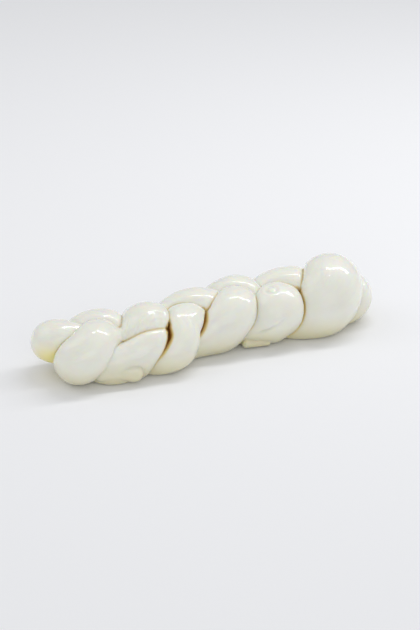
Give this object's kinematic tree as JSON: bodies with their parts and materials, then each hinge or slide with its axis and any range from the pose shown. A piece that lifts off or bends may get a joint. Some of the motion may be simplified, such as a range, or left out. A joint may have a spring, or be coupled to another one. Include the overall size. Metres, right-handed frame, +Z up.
{
  "type": "braided string cheese",
  "caption": "Thick plaited rope of fresh white string cheese, its plump strands pressed together into one piece, with blunt rounded ends.",
  "frame": {"origin": "centre of the bounding box at its base, on the surface the braid lies on", "axes": "+X along the braid from its blunt pair of ends to the big folded lobe, +Y across it to the back row of lobes, +Z up"},
  "size_m": [0.2518, 0.0644, 0.0513],
  "materials": {
    "cheese": "moist fresh stretched curd: off-white, softly glossy and slightly translucent, butter yellow down in the creases"
  },
  "bodies": {
    "root": {"cheese_braid": "cheese"}
  },
  "joints": []
}
